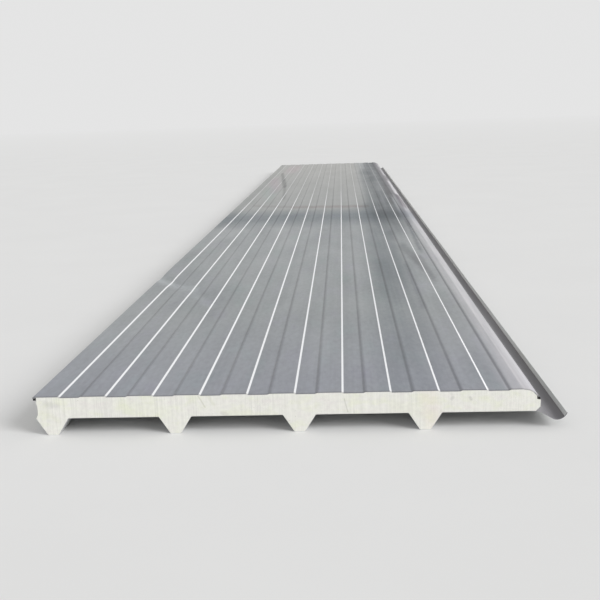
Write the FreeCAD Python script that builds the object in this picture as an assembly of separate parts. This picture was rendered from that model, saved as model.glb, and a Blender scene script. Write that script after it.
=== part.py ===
"""Roof sandwich panel: two profiled steel sheets bonded to a rigid foam core.

The panel lies as it is stored, ribs down and liner up.  +X runs across the
panel from rib 1 to the overlap rib, +Y along its length, +Z up.  The origin is
the middle of the panel's box, at the level of the rib crowns it rests on.
Every piece is a cross-section in the XZ plane run along the length.  Sections
are drawn from the centre line of rib 1 and moved to the origin at the end.
All sizes are in millimetres.
"""
import FreeCAD, Part
import math
import os

# Panel
LENGTH = 8000.0
COVER_WIDTH = 1000.0        # width of roof that one laid panel adds
CORE_DEPTH = 45.0           # flute face to liner face
JOINT_GAP = 0.5             # between the foam sides of two laid panels

# Ribbed outer sheet
OUTER_THICKNESS = 0.5
FILLED_RIBS = 4             # the fifth rib is the empty overlap rib
RIB_HEIGHT = 35.0
RIB_CROWN = 22.0            # width across the crown, corner to corner
RIB_BASE = 66.0             # width across the foot, corner to corner
RIB_BEND = 3.0              # inside radius of the rib bends

# Overlap rib, sprung open as a free edge lies before it is laid
LAP_OFFSET = 3.0            # its web leaves the flute this far past a rib foot
LAP_WEB = 38.0
LAP_WEB_ANGLE = 30.0        # degrees below the flute
LAP_CROWN = 17.0            # corner to corner, almost all of it in the bends
LAP_CROWN_RADIUS = 19.0
LAP_RETURN = 17.0           # length of the web that comes back up
LAP_RETURN_ANGLE = 60.0
LAP_HEM = 2.0               # free edge folded in, over both layers
LAP_FOLD = 9.0              # length of the folded-back layer
LAP_HEM_BEND = LAP_HEM / 2 - OUTER_THICKNESS

# Micro-ribbed liner sheet
LINER_THICKNESS = 0.4
MICRO_RIBS = 10             # shallow recessed strips across the liner
MICRO_START = 15.5          # middle of the first step down
MICRO_RECESS = 43.0         # step down to step up, middle to middle
MICRO_STEP = 4.5            # width of each sloping step
MICRO_DEPTH = 1.8
LINER_BEND = 1.5
HEM_HEIGHT = 2.0            # folded edge, over both layers
HEM_BEND = HEM_HEIGHT / 2 - LINER_THICKNESS

# Liner tongue on the rib 1 side
TONGUE_TIP = -37.5
TONGUE_ROOT = -30.0         # where the folded edge meets the foam
TONGUE_LEG = 7.0            # leg turned down against the foam

# Liner lip on the overlap side
LIP_SETBACK = 3.0           # from the foam side in to the nose
LIP_BEVEL = 27.5            # width of the bevel that leads down to the nose
LIP_DROP = 10.0
LIP_RETURN = 9.0            # length of the folded-back layer

# Foam side, drawn for the rib 1 side and repeated on the other one
WAIST = -28.5               # recessed middle of the side
WAIST_BOTTOM = 9.0          # above the flute
WAIST_TOP = 27.0            # above the flute
FLARE = -31.5               # where the side comes out again below the tongue
FLARE_HEIGHT = 34.0         # above the flute

# Black sealing strips
SEAL_WIDTH = 6.2
SEAL_HEIGHT = 4.4
SEAL_EDGE = HEM_BEND + 0.1  # clears the bend of the tongue's leg
SEAL_SLOT_DROP = 17.0       # floor of the lip slot below the liner face
SEAL_PROUD = 2.1            # strip in the lip slot, out from the nose

RIB_PITCH = COVER_WIDTH / FILLED_RIBS
MICRO_PITCH = COVER_WIDTH / (MICRO_RIBS + 0.5)
LINER_FACE = RIB_HEIGHT + CORE_DEPTH
FLUTE_INNER = RIB_HEIGHT + OUTER_THICKNESS
LINER_INNER = LINER_FACE - LINER_THICKNESS
FAR_SIDE = COVER_WIDTH - JOINT_GAP          # rib 1's side profile, moved across
LIP_NOSE = FAR_SIDE + WAIST - LIP_SETBACK
SLOT_BACK = LIP_NOSE + SEAL_PROUD - SEAL_WIDTH
SLOT_FLOOR = LINER_FACE - SEAL_SLOT_DROP


def polar(start, length, degrees):
    """Point at a distance and direction from another."""
    angle = math.radians(degrees)
    return (start[0] + length * math.cos(angle), start[1] + length * math.sin(angle))


def direction(start, end):
    """Unit vector from one point to another."""
    dx, dz = end[0] - start[0], end[1] - start[1]
    size = math.hypot(dx, dz)
    return dx / size, dz / size


def turn(path, i):
    """Signed angle by which a path turns at its point i, left turns positive."""
    ax, az = direction(path[i - 1], path[i])
    bx, bz = direction(path[i], path[i + 1])
    return math.atan2(ax * bz - az * bx, ax * bx + az * bz)


def offset_path(path, distance):
    """Path parallel to an open one, to its left where distance is positive."""
    moved = []
    last = len(path) - 1
    for i, (x, z) in enumerate(path):
        before = direction(path[max(i - 1, 0)], path[max(i - 1, 0) + 1])
        after = direction(path[min(i, last - 1)], path[min(i, last - 1) + 1])
        nx, nz = -(before[1] + after[1]), before[0] + after[0]
        scale = distance / (1.0 + before[0] * after[0] + before[1] * after[1])
        moved.append((x + nx * scale, z + nz * scale))
    return moved


def offset_radii(path, radii, distance):
    """Radii of the parallel path's bends, about the same centres."""
    result = [0.0] * len(path)
    for i in range(1, len(path) - 1):
        side = math.copysign(1.0, turn(path, i))
        result[i] = radii[i] - side * distance
    return result


def section_edges(points, radii):
    """Edges of a closed outline with rounded corners."""
    count = len(points)
    cuts = []
    for i in range(count):
        here, before, after = points[i], points[i - 1], points[(i + 1) % count]
        back, ahead = direction(here, before), direction(here, after)
        dot = max(-1.0, min(1.0, back[0] * ahead[0] + back[1] * ahead[1]))
        half = math.acos(dot) / 2
        if radii[i] <= 0.0:
            cuts.append((here, None, here))
            continue
        setback = radii[i] / math.tan(half)
        reach = radii[i] / math.sin(half) - radii[i]
        middle = direction((0.0, 0.0), (back[0] + ahead[0], back[1] + ahead[1]))
        cuts.append((
            (here[0] + back[0] * setback, here[1] + back[1] * setback),
            (here[0] + middle[0] * reach, here[1] + middle[1] * reach),
            (here[0] + ahead[0] * setback, here[1] + ahead[1] * setback),
        ))
    edges = []
    for i, (first, top, last) in enumerate(cuts):
        if top is not None:
            edges.append(Part.Arc(at(first), at(top), at(last)).toShape())
        following = cuts[(i + 1) % count][0]
        if math.dist(last, following) > 1e-6:
            edges.append(Part.LineSegment(at(last), at(following)).toShape())
    return edges


def at(point):
    """Section point as a vector at the near end of the panel."""
    return FreeCAD.Vector(point[0], -LENGTH / 2, point[1])


def run(points, radii):
    """Solid of a closed section run along the panel's length."""
    outline = Part.Wire(section_edges(points, radii))
    return Part.Face(outline).extrude(FreeCAD.Vector(0, LENGTH, 0))


def sheet(face, bends, thickness):
    """Sheet metal on one side of a face path, with concentric bends.

    A positive thickness lies to the left of the path.  bends are the inside
    radii, whichever way each bend turns.
    """
    radii = [0.0] * len(face)
    for i in range(1, len(face) - 1):
        towards_metal = turn(face, i) * thickness > 0
        radii[i] = bends[i] + (abs(thickness) if towards_metal else 0.0)
    back = offset_path(face, thickness)
    back_radii = offset_radii(face, radii, thickness)
    return run(face + back[::-1], radii + back_radii[::-1]), back, back_radii


def filled_rib_path():
    """Outside face of the outer sheet, from rib 1's free foot to the last rib."""
    path, bends = [], []
    for rib in range(FILLED_RIBS):
        centre = rib * RIB_PITCH
        path.append((centre - RIB_BASE / 2, RIB_HEIGHT))
        path.append((centre - RIB_CROWN / 2, 0.0))
        path.append((centre + RIB_CROWN / 2, 0.0))
        path.append((centre + RIB_BASE / 2, RIB_HEIGHT))
        bends += [RIB_BEND] * 4
    return path, bends


def lap_path():
    """Outside face of the overlap rib, from the flute to its folded free edge."""
    foot = (COVER_WIDTH - RIB_BASE / 2 + LAP_OFFSET, RIB_HEIGHT)
    crown_start = polar(foot, LAP_WEB, -LAP_WEB_ANGLE)
    crown_end = polar(crown_start, LAP_CROWN, 0.0)
    return_end = polar(crown_end, LAP_RETURN, LAP_RETURN_ANGLE)
    fold = polar(return_end, LAP_HEM, LAP_RETURN_ANGLE + 90.0)
    fold_end = polar(fold, LAP_FOLD, LAP_RETURN_ANGLE + 180.0)
    path = [foot, crown_start, crown_end, return_end, fold, fold_end]
    bends = [RIB_BEND, LAP_CROWN_RADIUS, LAP_CROWN_RADIUS, LAP_HEM_BEND, LAP_HEM_BEND, 0.0]
    return path, bends


def liner_path():
    """Visible face of the liner, from the tongue's leg to the lip's folded layer."""
    leg_top = LINER_FACE - HEM_HEIGHT
    path = [
        (TONGUE_ROOT, leg_top - TONGUE_LEG),
        (TONGUE_ROOT, leg_top),
        (TONGUE_TIP, leg_top),
        (TONGUE_TIP, LINER_FACE),
    ]
    bends = [0.0, HEM_BEND, HEM_BEND, HEM_BEND]
    for rib in range(MICRO_RIBS):
        down = MICRO_START + rib * MICRO_PITCH
        up = down + MICRO_RECESS
        path.append((down - MICRO_STEP / 2, LINER_FACE))
        path.append((down + MICRO_STEP / 2, LINER_FACE - MICRO_DEPTH))
        path.append((up - MICRO_STEP / 2, LINER_FACE - MICRO_DEPTH))
        path.append((up + MICRO_STEP / 2, LINER_FACE))
        bends += [LINER_BEND] * 4
    bevel = (LIP_NOSE - LIP_BEVEL, LINER_FACE)
    nose = (LIP_NOSE, LINER_FACE - LIP_DROP)
    slope = math.degrees(math.atan2(nose[1] - bevel[1], nose[0] - bevel[0]))
    fold = polar(nose, HEM_HEIGHT, slope - 90.0)
    path += [bevel, nose, fold, polar(fold, LIP_RETURN, slope + 180.0)]
    bends += [LINER_BEND, HEM_BEND, HEM_BEND, 0.0]
    return path, bends


def side_points(shift):
    """Foam side from the flute up to the flare, moved across the panel."""
    return [
        (shift + WAIST, RIB_HEIGHT + WAIST_BOTTOM),
        (shift + WAIST, RIB_HEIGHT + WAIST_TOP),
        (shift + FLARE, RIB_HEIGHT + FLARE_HEIGHT),
    ]


def x_at_height(a, b, height):
    """X where the line through two points reaches a height."""
    return a[0] + (b[0] - a[0]) * (height - a[1]) / (b[1] - a[1])


def height_at_x(a, b, x):
    """Height at which the line through two points reaches an x."""
    return a[1] + (b[1] - a[1]) * (x - a[0]) / (b[0] - a[0])


def make_outer_sheet():
    """Ribbed sheet with its empty overlap rib."""
    ribs, rib_bends = filled_rib_path()
    lap, lap_bends = lap_path()
    solid, back, radii = sheet(ribs + lap, rib_bends + lap_bends, OUTER_THICKNESS)
    return solid, back[:len(ribs)], radii[:len(ribs)]


def make_liner_sheet():
    """Micro-ribbed sheet with its folded edges."""
    face, bends = liner_path()
    return sheet(face, bends, -LINER_THICKNESS)


def make_foam_core(outer_back, outer_radii, liner_back, liner_radii):
    """Foam between the backs of the two sheets, with its shaped sides."""
    points = list(outer_back)
    radii = list(outer_radii)

    # Overlap side, from the flute up to the slot under the lip.
    far_foot = (FAR_SIDE - RIB_BASE / 2, FLUTE_INNER)
    far_points = side_points(FAR_SIDE)
    slot_mouth = x_at_height(far_points[1], far_points[2], SLOT_FLOOR)
    fold, fold_end = liner_path()[0][-2:]
    slot_top = height_at_x(fold, fold_end, SLOT_BACK)
    slope = math.degrees(math.atan2(fold[1] - fold_end[1], fold[0] - fold_end[0]))
    under_bevel = polar(fold_end, HEM_HEIGHT - LINER_THICKNESS, slope + 90.0)
    points += [far_foot, far_points[0], far_points[1], (slot_mouth, SLOT_FLOOR)]
    points += [(SLOT_BACK, SLOT_FLOOR), (SLOT_BACK, slot_top), fold_end, under_bevel]
    radii += [0.0] * 8

    # Back of the liner, from the bevel to the tongue.
    bevel_index = len(liner_back) - 4
    points += liner_back[4:bevel_index + 1][::-1]
    radii += liner_radii[4:bevel_index + 1][::-1]
    leg_back = TONGUE_ROOT + LINER_THICKNESS
    leg_foot = LINER_FACE - HEM_HEIGHT - TONGUE_LEG
    points += [(leg_back, LINER_INNER), (leg_back, leg_foot)]
    radii += [0.0] * 2

    # Rib 1 side, down to the free foot of the outer sheet.
    points += side_points(0.0)[::-1]
    radii += [0.0, 4.0, 4.0]
    return run(points, radii)


def make_seal(left, bottom):
    """Closed-cell strip of rectangular section."""
    right, top = left + SEAL_WIDTH, bottom + SEAL_HEIGHT
    corners = [(left, bottom), (right, bottom), (right, top), (left, top)]
    return run(corners, [0.0, SEAL_EDGE, SEAL_EDGE, 0.0])


def make_tongue_seal():
    """Strip under the tongue, against its leg."""
    return make_seal(TONGUE_ROOT - SEAL_WIDTH, LINER_FACE - HEM_HEIGHT - SEAL_HEIGHT)


def make_lip_seal():
    """Strip in the slot under the lip."""
    return make_seal(SLOT_BACK, SLOT_FLOOR)


def main():
    """Build every piece about the panel's origin and write it."""
    outer_sheet, outer_back, outer_radii = make_outer_sheet()
    liner_sheet, liner_back, liner_radii = make_liner_sheet()
    pieces = {
        "outer_sheet": outer_sheet,
        "foam_core": make_foam_core(outer_back, outer_radii, liner_back, liner_radii),
        "liner_sheet": liner_sheet,
        "tongue_seal": make_tongue_seal(),
        "lip_seal": make_lip_seal(),
    }
    box = FreeCAD.BoundBox()
    for solid in pieces.values():
        box.add(solid.BoundBox)
    os.makedirs("parts", exist_ok=True)
    for name, solid in pieces.items():
        solid.translate(FreeCAD.Vector(-box.Center.x, 0, -box.ZMin))
        solid.exportStep("parts/" + name + ".step")
        print(name, "volume", round(solid.Volume / 1e9, 6), "m3 valid", solid.isValid())


main()
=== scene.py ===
"""Roof sandwich panel lying on its ribs: ribbed outer sheet, foam core, liner sheet and seals.

The sections of the pieces are drawn in metres from the centre line of rib 1
and placed by the frame's own corners.  Every piece is one section run along
the panel, rounded at its bends and then given the slight waviness and the
handling marks of a stored panel.
"""

import math

import bmesh
import bpy
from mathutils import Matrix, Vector, noise


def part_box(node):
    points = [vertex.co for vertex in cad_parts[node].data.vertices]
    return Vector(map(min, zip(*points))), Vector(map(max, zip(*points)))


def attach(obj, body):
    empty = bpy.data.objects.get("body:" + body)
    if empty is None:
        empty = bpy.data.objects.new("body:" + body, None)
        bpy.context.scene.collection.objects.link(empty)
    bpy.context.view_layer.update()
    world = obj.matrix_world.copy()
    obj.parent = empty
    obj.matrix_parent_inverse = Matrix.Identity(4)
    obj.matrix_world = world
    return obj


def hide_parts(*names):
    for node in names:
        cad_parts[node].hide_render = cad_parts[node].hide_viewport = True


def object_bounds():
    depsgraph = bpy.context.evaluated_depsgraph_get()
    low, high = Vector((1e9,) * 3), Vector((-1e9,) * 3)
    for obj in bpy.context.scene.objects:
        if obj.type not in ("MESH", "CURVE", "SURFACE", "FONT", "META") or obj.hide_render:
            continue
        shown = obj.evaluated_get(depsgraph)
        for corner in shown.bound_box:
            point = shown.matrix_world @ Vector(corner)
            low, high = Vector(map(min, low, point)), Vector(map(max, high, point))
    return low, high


bl_info = {
    "name": "Roof sandwich panel",
    "version": (1, 0, 0),
    "blender": (4, 5, 0),
    "location": "View3D > Sidebar > Panel",
    "description": "Builds an insulated roof panel and its studio",
    "category": "Object",
}

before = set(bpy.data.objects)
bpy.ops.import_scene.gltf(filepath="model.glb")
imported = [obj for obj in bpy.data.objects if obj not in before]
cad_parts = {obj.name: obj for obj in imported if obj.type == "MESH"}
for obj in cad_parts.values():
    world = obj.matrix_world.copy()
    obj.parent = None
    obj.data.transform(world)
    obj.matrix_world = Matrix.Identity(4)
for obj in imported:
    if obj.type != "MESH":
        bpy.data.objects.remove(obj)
CAD_LOW, CAD_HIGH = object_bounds()
LINER_LOW, LINER_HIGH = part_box("liner_sheet")

TONGUE_POINTS = 4           # first points of the liner's path, folded at the tongue
LIP_POINTS = 3              # its last points, folded at the lip
SHORTEST_RUN = 1e-4         # an edge that goes further than this along the panel runs along it

# Cuts that let every piece bend where it is worn, in metres: along from the near end, first
# fine and then coarser, and across from rib 1 at the crease and at the lip.
FINE_CUTS = 59
FINE_SPACING = 0.03
COARSE_SPANS = 60
CREASE_CUTS = 15
CREASE_FIRST_CUT = -0.029
CREASE_SPACING = 0.018
LIP_CUTS = (0.9455, 0.9505, 0.9555, 0.9605, 0.9645)

# Where the wear is, in metres.  The crease starts at the tongue's edge, this far along, and
# slants nearer as it goes in.
CREASE_ALONG = 1.36
CREASE_SLANT = 1.8
CREASE_WIDTH = 0.06
CREASE_REACH = 0.24
BRUISE_ALONG = 0.45
SWELL_ACROSS = 0.953
SWELL_WIDTH = 0.008
SWAY_CELLS = 0.9            # of the noise that twists the overlap rib, in a metre
SWAY_LAYER = 7.0
SWAY_ALONG = 1.5            # the twist sets in over this length
LAP_MARGIN = 0.002          # the overlap rib's points lie below its foot and this

# Wear that sets in at a place and is whole after a width, in metres up or across.
SAG_UP = (0.040, 0.030)
BRUISE_UP = (0.045, 0.015)
PUSH_UP = (0.038, 0.008)
PRESS_ACROSS = (0.957, 0.011)
PUSH_ACROSS = (0.945, 0.022)

# Waves of the liner face: cells a metre across and along, layer of the noise, and depth.
MEAN_WAVE = 0.5
WAVES = ((3.1, 1.3, 4.0, 0.35), (9.0, 4.0, 11.0, 0.15))

# Studio
FLOOR_FADE = (9.0, 45.0)    # the floor turns into background this far from the middle
SUN_PLACE = Vector((7.4, -4.5, 5.0))
SHEEN_PLACE = Vector((14.5, 22.0, 7.0))
SHEEN_TARGET = Vector((0.0, -4.0, 0.0))


def length_property(name, description, default):
    """Length in metres that a user may change."""
    return bpy.props.FloatProperty(
        name=name, description=description, default=default, min=0.0, unit="LENGTH", precision=5
    )


def angle_property(name, description, degrees):
    """Angle that a user may change."""
    return bpy.props.FloatProperty(
        name=name, description=description, default=math.radians(degrees), subtype="ANGLE"
    )


def colour_property(name, description, default):
    """Linear colour that a user may change."""
    return bpy.props.FloatVectorProperty(
        name=name, description=description, default=default, size=3, min=0.0, max=1.0,
        subtype="COLOR"
    )


def share_property(name, description, default):
    """Number from 0 to 1 that a user may change."""
    return bpy.props.FloatProperty(
        name=name, description=description, default=default, min=0.0, max=1.0, subtype="FACTOR"
    )


class OuterSheetSizes(bpy.types.PropertyGroup):
    """Section of the ribbed sheet."""

    thickness: length_property("Thickness", "Steel of the ribbed sheet", 0.0005)
    filled_ribs: bpy.props.IntProperty(
        name="Filled ribs", description="Ribs with foam in them", default=4, min=1
    )
    pitch: length_property("Rib pitch", "Between the middles of two ribs", 0.250)
    rib_height: length_property("Rib height", "Flute face to rib crown", 0.035)
    crown: length_property("Crown", "Width across a crown", 0.022)
    base: length_property("Foot", "Width across the foot of a rib", 0.066)
    bend: length_property("Bend", "Inside radius of the rib bends", 0.003)
    lap_offset: length_property("Lap offset", "Overlap web past a rib foot", 0.003)
    lap_web: length_property("Lap web", "Web of the overlap rib", 0.038)
    lap_web_angle: angle_property("Lap web angle", "Slope of the sprung overlap web", 30.0)
    lap_crown: length_property("Lap crown", "Corner to corner of the overlap rib", 0.017)
    lap_radius: length_property("Lap radius", "Bend radius of the overlap rib", 0.019)
    lap_return: length_property("Lap return", "Web that comes back up", 0.017)
    lap_return_angle: angle_property("Return angle", "Slope of the return web", 60.0)
    lap_hem: length_property("Hem", "Folded free edge, over both layers", 0.002)
    lap_fold: length_property("Fold", "Length of the folded-back layer", 0.009)


class LinerSizes(bpy.types.PropertyGroup):
    """Section of the liner sheet."""

    thickness: length_property("Thickness", "Steel of the liner", 0.0004)
    micro_ribs: bpy.props.IntProperty(
        name="Strips", description="Recessed strips across the liner", default=10, min=1
    )
    start: length_property("First step", "From rib 1 to the first step down", 0.0155)
    recess: length_property("Recess", "Step down to step up", 0.043)
    step: length_property("Step", "Width of a sloping step", 0.0045)
    depth: length_property("Depth", "Depth of a recessed strip", 0.0018)
    bend: length_property("Bend", "Inside radius of the steps", 0.0015)
    hem: length_property("Hem", "Folded edge over both layers", 0.002)
    tongue: length_property("Tongue", "Folded edge out from the foam", 0.0075)
    root: length_property("Tongue root", "From rib 1 out to the foam", 0.030)
    leg: length_property("Leg", "Leg turned down against the foam", 0.007)
    setback: length_property("Setback", "Foam side in to the lip's nose", 0.003)
    bevel: length_property("Bevel", "Width of the bevel to the lip", 0.0275)
    drop: length_property("Drop", "Height of the bevel", 0.010)
    lip_return: length_property("Lip return", "Folded-back layer of the lip", 0.009)


class CoreSizes(bpy.types.PropertyGroup):
    """Section of the foam core and the seals."""

    cover: length_property("Cover width", "Roof width of one laid panel", 1.0)
    joint_gap: length_property("Joint gap", "Between two laid cores", 0.0005)
    waist: length_property("Waist", "From rib 1 out to the foam side", 0.0285)
    waist_bottom: length_property("Waist bottom", "Above the flute", 0.009)
    waist_top: length_property("Waist top", "Above the flute", 0.027)
    flare: length_property("Flare", "From rib 1 out to the top of the side", 0.0315)
    flare_height: length_property("Flare height", "Above the flute", 0.034)
    side_bend: length_property("Side bend", "Radius of the waist", 0.004)
    seal_width: length_property("Seal width", "Sealing strip", 0.0062)
    seal_height: length_property("Seal height", "Sealing strip", 0.0044)
    seal_proud: length_property("Seal proud", "Strip out from the nose", 0.0021)
    slot_drop: length_property("Slot drop", "Slot floor below the liner", 0.017)
    seal_edge: length_property("Seal edge", "Rounding of the strips", 0.0007)


class WearSettings(bpy.types.PropertyGroup):
    """How far the stored panel departs from a straight one."""

    waviness: length_property("Waviness", "Depth of the waves in the liner face", 0.0006)
    crease: length_property("Crease", "Depth of the crease by the tongue", 0.0038)
    lip_swell: length_property("Lip swell", "Rounding up of the bruised bevel", 0.0025)
    lip_down: length_property("Lip down", "Nose pressed down at the near end", 0.0045)
    lip_out: length_property("Lip out", "Nose pushed out at the near end", 0.0045)
    lap_sway: angle_property("Lap sway", "Twist of the overlap rib along its length", 2.0)


class Finish(bpy.types.PropertyGroup):
    """Colours and gloss of the pieces."""

    liner: colour_property("Liner coat", "Grey polyester coat", (0.252, 0.270, 0.278))
    liner_near: colour_property("Near coat", "Coat by the near end", (0.251, 0.264, 0.298))
    # Painted reflection that lightens the far part of the liner.
    far_reflection: colour_property("Far reflection", "Painted reflection over the far part", (0.46, 0.455, 0.43))
    # Painted highlight: colour of the bright line on each step down of the liner.
    step: colour_property("Painted step glint", "Highlight painted on the steps down", (0.86, 0.87, 0.88))
    outer: colour_property("Outer coat", "Pale polyester coat", (0.62, 0.63, 0.63))
    back: colour_property("Back coat", "Primer on the foam side of the sheets", (0.150, 0.145, 0.158))
    steel: colour_property("Cut edge", "Zinc and steel at cut edges", (0.62, 0.63, 0.64))
    foam: colour_property("Foam", "Cream polyurethane", (0.862, 0.857, 0.802))
    seal: colour_property("Seal", "Black closed-cell strip", (0.012, 0.012, 0.013))
    liner_roughness: share_property("Liner roughness", "Gloss of the liner coat", 0.34)


class Studio(bpy.types.PropertyGroup):
    """Floor, light and camera."""

    floor: colour_property("Floor", "Pale floor", (0.80, 0.80, 0.795))
    background: colour_property("Background", "Seen beyond the floor", (0.78, 0.78, 0.78))
    ambient: share_property("Ambient", "Even light from all round", 0.60)
    sun: bpy.props.FloatProperty(
        name="Sun", description="Soft light from the right", default=2.0, min=0.0
    )
    sun_softness: angle_property("Softness", "Width of the soft light", 30.0)
    sheen: bpy.props.FloatProperty(
        name="Sheen", description="Brightness of the light that glints in the steps",
        default=1.8, min=0.0
    )
    eye_side: length_property("Eye side", "Camera from rib 1, across", 0.5951)
    eye_back: length_property("Eye back", "Camera before the near end", 1.7333)
    eye_height: length_property("Eye height", "Camera above the floor", 0.6262)
    look: angle_property("Look down", "Camera below the horizon", 11.65)
    turn: angle_property("Turn", "Camera turned to the panel's length", -2.86)
    roll: angle_property("Roll", "Camera tipped about its view", -1.84)
    view_angle: angle_property("View angle", "Across the view", 36.39)


def settings():
    """Property groups of the scene."""
    return bpy.context.scene.sandwich_panel


class PanelSettings(bpy.types.PropertyGroup):
    """All settings of the panel."""

    outer: bpy.props.PointerProperty(type=OuterSheetSizes)
    liner: bpy.props.PointerProperty(type=LinerSizes)
    core: bpy.props.PointerProperty(type=CoreSizes)
    wear: bpy.props.PointerProperty(type=WearSettings)
    finish: bpy.props.PointerProperty(type=Finish)
    studio: bpy.props.PointerProperty(type=Studio)


# Section geometry


def rib_one():
    """X of rib 1's centre line in the frame."""
    liner = settings().liner
    return LINER_LOW.x + liner.tongue + liner.root


def step(start, length, angle):
    """Point at a distance and direction from another, in the section."""
    return (start[0] + length * math.cos(angle), start[1] + length * math.sin(angle))


def heading(start, end):
    """Direction from one section point to another."""
    return math.atan2(end[1] - start[1], end[0] - start[0])


def turn_at(path, i):
    """Signed turn of a path at its point i, left turns positive."""
    change = heading(path[i], path[i + 1]) - heading(path[i - 1], path[i])
    return math.atan2(math.sin(change), math.cos(change))


def face_radii(path, bends, thickness):
    """Radii on the drawn face, for metal of a thickness to its left."""
    radii = [0.0] * len(path)
    for i in range(1, len(path) - 1):
        outside = turn_at(path, i) * thickness > 0
        radii[i] = bends[i] + (abs(thickness) if outside else 0.0)
    return radii


def parallel(path, distance):
    """Path parallel to an open one, to its left where distance is positive."""
    moved = []
    last = len(path) - 1
    for i, (x, z) in enumerate(path):
        before = heading(path[max(i - 1, 0)], path[max(i - 1, 0) + 1])
        after = heading(path[min(i, last - 1)], path[min(i, last - 1) + 1])
        half = math.atan2(math.sin(after - before), math.cos(after - before)) / 2
        moved.append(step((x, z), distance / math.cos(half), before + half + math.pi / 2))
    return moved


def parallel_radii(path, radii, distance):
    """Radii of the parallel path, about the same centres."""
    result = [0.0] * len(path)
    for i in range(1, len(path) - 1):
        result[i] = radii[i] - math.copysign(distance, turn_at(path, i) * distance)
    return result


def rib_path():
    """Outside face of the outer sheet over the filled ribs, with its inside bend radii."""
    size = settings().outer
    path = []
    for rib in range(size.filled_ribs):
        middle = rib * size.pitch
        path.append((middle - size.base / 2, size.rib_height))
        path.append((middle - size.crown / 2, 0.0))
        path.append((middle + size.crown / 2, 0.0))
        path.append((middle + size.base / 2, size.rib_height))
    return path, [size.bend] * len(path)


def lap_path():
    """Outside face of the empty overlap rib."""
    size = settings().outer
    cover = settings().core.cover
    foot = (cover - size.base / 2 + size.lap_offset, size.rib_height)
    crown_start = step(foot, size.lap_web, -size.lap_web_angle)
    crown_end = step(crown_start, size.lap_crown, 0.0)
    return_end = step(crown_end, size.lap_return, size.lap_return_angle)
    fold = step(return_end, size.lap_hem, size.lap_return_angle + math.pi / 2)
    fold_end = step(fold, size.lap_fold, size.lap_return_angle + math.pi)
    hem_bend = size.lap_hem / 2 - size.thickness
    path = [foot, crown_start, crown_end, return_end, fold, fold_end]
    return path, [size.bend, size.lap_radius, size.lap_radius, hem_bend, hem_bend, 0.0]


def liner_path():
    """Visible face of the liner, from the tongue's leg to the lip's folded layer."""
    size = settings().liner
    core = settings().core
    top = LINER_HIGH.z
    hem_bend = size.hem / 2 - size.thickness
    tip = -size.root - size.tongue
    path = [
        (-size.root, top - size.hem - size.leg),
        (-size.root, top - size.hem),
        (tip, top - size.hem),
        (tip, top),
    ]
    bends = [0.0] + [hem_bend] * 3
    pitch = core.cover / (size.micro_ribs + 0.5)
    for rib in range(size.micro_ribs):
        down = size.start + rib * pitch
        up = down + size.recess
        path.append((down - size.step / 2, top))
        path.append((down + size.step / 2, top - size.depth))
        path.append((up - size.step / 2, top - size.depth))
        path.append((up + size.step / 2, top))
        bends += [size.bend] * 4
    nose = (core.cover - core.joint_gap - core.waist - size.setback, top - size.drop)
    bevel = (nose[0] - size.bevel, top)
    slope = heading(bevel, nose)
    fold = step(nose, size.hem, slope - math.pi / 2)
    path += [bevel, nose, fold, step(fold, size.lip_return, slope + math.pi)]
    bends += [size.bend, hem_bend, hem_bend, 0.0]
    return path, bends


def side_points(shift):
    """Foam side from the flute up to the flare."""
    core = settings().core
    flute = settings().outer.rib_height
    return [
        (shift - core.waist, flute + core.waist_bottom),
        (shift - core.waist, flute + core.waist_top),
        (shift - core.flare, flute + core.flare_height),
    ]


def along(a, b, share):
    """Point on the line through two points."""
    return (a[0] + (b[0] - a[0]) * share, a[1] + (b[1] - a[1]) * share)


def slot_corner():
    """Inner bottom corner of the slot under the lip."""
    core = settings().core
    nose = liner_path()[0][-LIP_POINTS]
    return (nose[0] + core.seal_proud - core.seal_width, LINER_HIGH.z - core.slot_drop)


def core_outline():
    """Closed outline of the foam with its corner radii."""
    outer, liner, core = settings().outer, settings().liner, settings().core
    ribs, bends = rib_path()
    lap, lap_bends = lap_path()
    face = ribs + lap
    radii = face_radii(face, bends + lap_bends, outer.thickness)
    points = parallel(face, outer.thickness)[:len(ribs)]
    corners = parallel_radii(face, radii, outer.thickness)[:len(ribs)]

    far = core.cover - core.joint_gap
    side = side_points(far)
    slot = slot_corner()
    mouth = along(side[1], side[2], (slot[1] - side[1][1]) / (side[2][1] - side[1][1]))
    path, liner_bends = liner_path()
    fold, fold_end = path[-2:]
    slot_top = along(fold, fold_end, (slot[0] - fold[0]) / (fold_end[0] - fold[0]))
    under_bevel = step(fold_end, liner.hem - liner.thickness,
                       heading(fold_end, fold) + math.pi / 2)
    far_foot = (far - outer.base / 2, outer.rib_height + outer.thickness)
    sharp = [far_foot, side[0], side[1], mouth, slot, slot_top, fold_end, under_bevel]
    points += sharp
    corners += [0.0] * len(sharp)

    back = parallel(path, -liner.thickness)
    liner_radii = face_radii(path, liner_bends, -liner.thickness)
    back_radii = parallel_radii(path, liner_radii, -liner.thickness)
    points += back[TONGUE_POINTS:-LIP_POINTS][::-1]
    corners += back_radii[TONGUE_POINTS:-LIP_POINTS][::-1]
    inner = -liner.root + liner.thickness
    points += [(inner, back[TONGUE_POINTS][1]), (inner, path[0][1])]
    points += side_points(0.0)[::-1]
    corners += [0.0, 0.0, 0.0, core.side_bend, core.side_bend]
    return points, corners


# Mesh building


def lengthwise(edge):
    """Whether an edge runs along the panel."""
    a, b = edge.verts
    return abs(a.co.y - b.co.y) > SHORTEST_RUN


def run_along(bm, geometry, near, far):
    """Extrudes edges or faces from the near end to the far end."""
    if isinstance(geometry[0], bmesh.types.BMFace):
        grown = bmesh.ops.extrude_face_region(bm, geom=geometry)["geom"]
    else:
        grown = bmesh.ops.extrude_edge_only(bm, edges=geometry)["geom"]
    moved = [item for item in grown if isinstance(item, bmesh.types.BMVert)]
    bmesh.ops.translate(bm, verts=moved, vec=(0.0, far - near, 0.0))


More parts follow.
